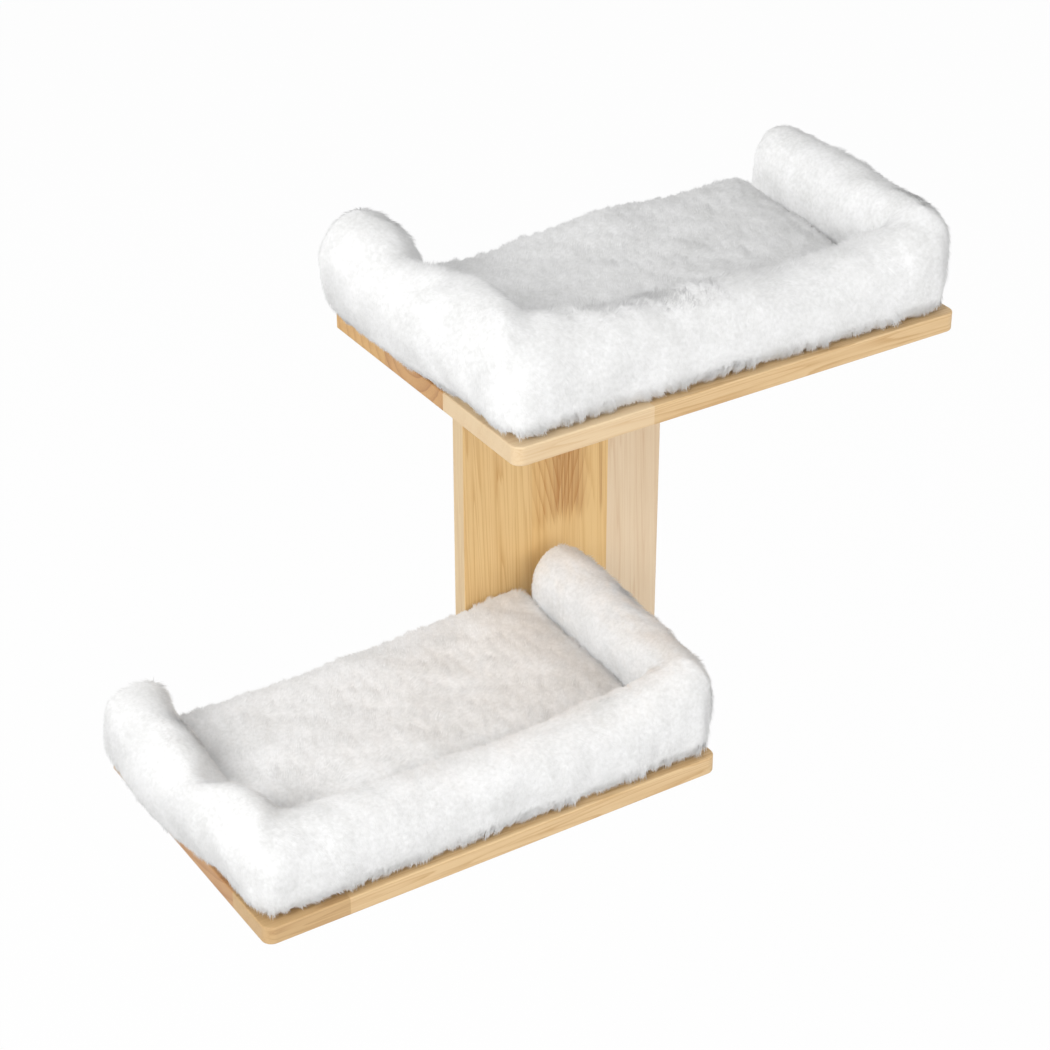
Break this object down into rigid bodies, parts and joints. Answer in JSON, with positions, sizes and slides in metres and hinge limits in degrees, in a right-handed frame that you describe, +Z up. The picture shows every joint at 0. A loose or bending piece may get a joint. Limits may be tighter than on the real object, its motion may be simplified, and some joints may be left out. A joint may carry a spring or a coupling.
{
  "type": "cat climbing wall",
  "caption": "Wall-hung cat perch: wooden shelves at different heights on an upright back board, each with a lift-off white faux-fur bed walled by stuffed bolsters.",
  "frame": {"origin": "middle of the back board's back face, the centre of its wall-screw holes, on the wall plane", "axes": "+X to the right as seen from the room, +Y into the wall, +Z up"},
  "size_m": [0.7826, 0.318, 0.5899],
  "materials": {
    "wood": "satin clear lacquer on edge-glued staves",
    "dowel_wood": "raw beech",
    "fur": "short white faux fur over loose stuffing",
    "base_cloth": "plain woven cloth",
    "tape": "hook-and-loop tape",
    "steel": "zinc plated"
  },
  "bodies": {
    "frame": {"back_board": "wood", "upper_shelf": "wood", "lower_shelf": "wood", "upper_dowels": "dowel_wood", "lower_dowels": "dowel_wood", "upper_connector_screws": "steel", "lower_connector_screw": "steel", "upper_bracket_left": "steel", "upper_bracket_right": "steel", "upper_bracket_screws": "steel", "upper_hook_strips": "tape", "lower_bracket_left": "steel", "lower_bracket_right": "steel", "lower_bracket_screws": "steel", "lower_hook_strips": "tape"},
    "upper_bed": {"upper_loop_strips": "tape", "upper_base_cloth": "base_cloth", "upper_mattress": "fur", "upper_bolster_left": "fur", "upper_bolster_front": "fur", "upper_bolster_right": "fur"},
    "lower_bed": {"lower_loop_strips": "tape", "lower_base_cloth": "base_cloth", "lower_mattress": "fur", "lower_bolster_left": "fur", "lower_bolster_front": "fur", "lower_bolster_right": "fur"}
  },
  "joints": [
    {"name": "upper_bed_lift", "type": "slide", "parent": "frame", "child": "upper_bed", "axis": [0, 0, 1], "range_m": [0, 0.15]},
    {"name": "lower_bed_lift", "type": "slide", "parent": "frame", "child": "lower_bed", "axis": [0, -0.9397, 0.342], "range_m": [0, 0.36]}
  ]
}
